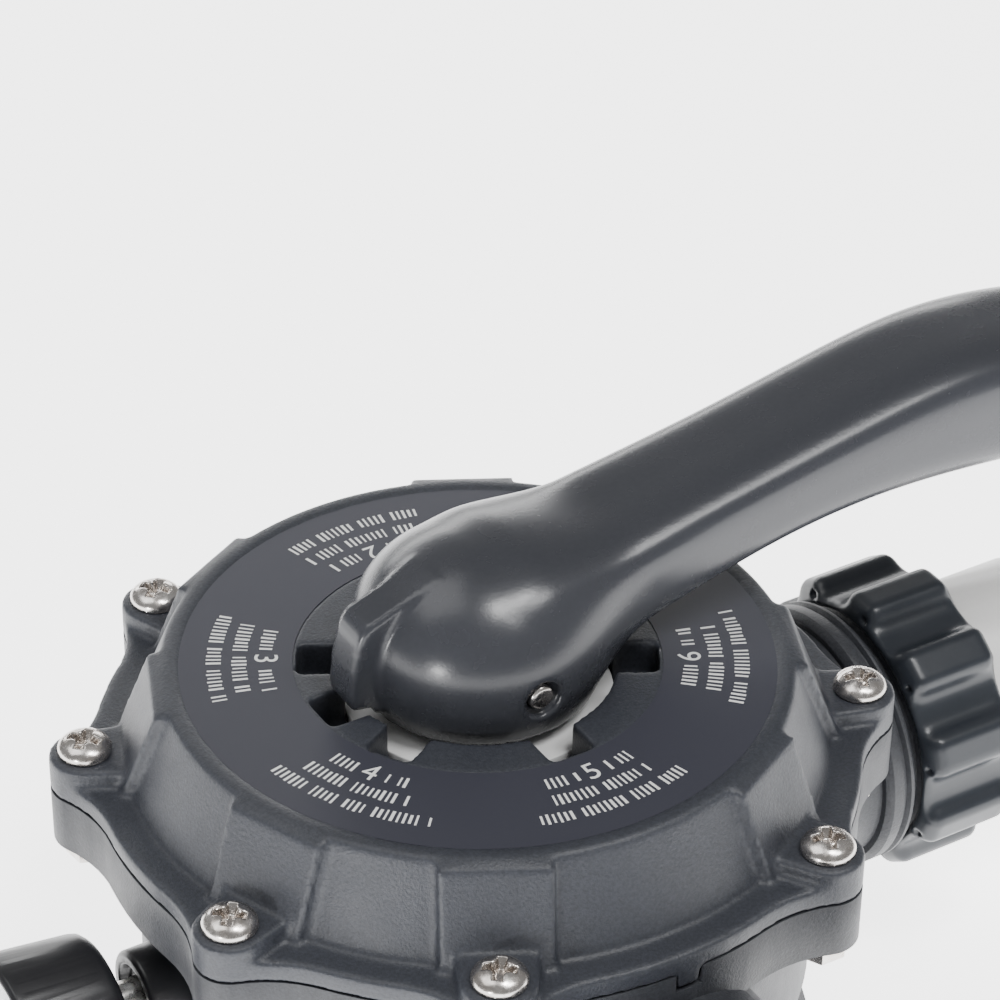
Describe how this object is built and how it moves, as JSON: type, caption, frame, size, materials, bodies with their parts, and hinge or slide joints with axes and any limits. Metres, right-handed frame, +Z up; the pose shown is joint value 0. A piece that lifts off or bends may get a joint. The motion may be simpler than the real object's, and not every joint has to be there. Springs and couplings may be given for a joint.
{
  "type": "multiport valve",
  "caption": "Lever-operated diverter valve with a round cover, screwed flange, side unions, pressure gauge and a tank flange underneath.",
  "frame": {"origin": "centre of the tank flange's lower face, on the rotor's axis", "axes": "+Z up along the rotor's axis, +X along the lever and out of the inlet union, +Y out of the capped waste port"},
  "size_m": [0.317, 0.2585, 0.1581],
  "materials": {
    "body_plastic": "fine spark texture, satin",
    "cover_plastic": "fine spark texture, satin",
    "handle_plastic": "fine orange-peel, satin",
    "nut_plastic": "smooth moulded, semi gloss",
    "rotor_plastic": "moulded, satin",
    "black_plastic": "satin black",
    "label_film": "smooth printed film",
    "white_nylon": "smooth",
    "white_pvc": "smooth, satin",
    "seal_rubber": "matt",
    "stainless_steel": "rolled and polished",
    "plated_brass": "dull nickel plate",
    "dial_white": "printed",
    "pointer_black": "matt",
    "clear_lens": "clear"
  },
  "bodies": {
    "valve": {"valve_body": "body_plastic", "cover": "cover_plastic", "dial_label": "label_film", "cover_o_ring": "seal_rubber", "cover_screws": "stainless_steel", "cover_nuts": "stainless_steel", "handle_washer": "white_nylon", "deck_gasket": "seal_rubber", "spring": "stainless_steel", "inlet_tail": "white_pvc", "inlet_union_o_ring": "seal_rubber", "outlet_tail": "white_pvc", "outlet_union_o_ring": "seal_rubber", "waste_seal": "seal_rubber", "gauge_adapter": "black_plastic", "gauge_stem": "plated_brass", "gauge_case": "black_plastic", "gauge_tube": "plated_brass", "gauge_dial": "dial_white", "gauge_lens": "clear_lens", "tank_o_ring": "seal_rubber", "standpipe_seal": "seal_rubber"},
    "spring_seat": {"spring_washer": "white_nylon"},
    "rotor": {"rotor": "rotor_plastic", "stem_o_rings": "seal_rubber", "handle_pin": "stainless_steel"},
    "lever": {"handle": "handle_plastic"},
    "inlet_nut": {"inlet_union_nut": "nut_plastic"},
    "outlet_nut": {"outlet_union_nut": "nut_plastic"},
    "waste_cap": {"waste_cap": "nut_plastic"},
    "pointer": {"gauge_pointer": "pointer_black"}
  },
  "joints": [
    {"name": "rotor_lift", "type": "slide", "parent": "valve", "child": "spring_seat", "axis": [0, 0, 1], "range_m": [0, 0.004], "deforming": ["spring"]},
    {"name": "handle_turn", "type": "hinge", "parent": "spring_seat", "child": "rotor", "pos_m": [0, 0, 0.1], "axis": [0, 0, 1], "continuous": true},
    {"name": "lever_press", "type": "hinge", "parent": "rotor", "child": "lever", "pos_m": [0, 0, 0.1183], "axis": [0, 1, 0], "range_deg": [0, 12], "stiffness_Nm_per_rad": 2, "springref_deg": -34.38},
    {"name": "inlet_nut_turn", "type": "hinge", "parent": "valve", "child": "inlet_nut", "pos_m": [0.115, 0, 0.053], "axis": [1, 0, 0], "continuous": true},
    {"name": "outlet_nut_turn", "type": "hinge", "parent": "valve", "child": "outlet_nut", "pos_m": [0, -0.115, 0.053], "axis": [0, -1, 0], "continuous": true},
    {"name": "waste_cap_turn", "type": "hinge", "parent": "valve", "child": "waste_cap", "pos_m": [0, 0.09, 0.053], "axis": [0, 1, 0], "continuous": true},
    {"name": "gauge_needle", "type": "hinge", "parent": "valve", "child": "pointer", "pos_m": [-0.115, 0, 0.053], "axis": [1, 0, 0], "range_deg": [0, 270], "stiffness_Nm_per_rad": 0.0005}
  ],
  "couplings": [
    {"joint": "rotor_lift", "follows": "lever_press", "m_per_rad": 0.018}
  ]
}
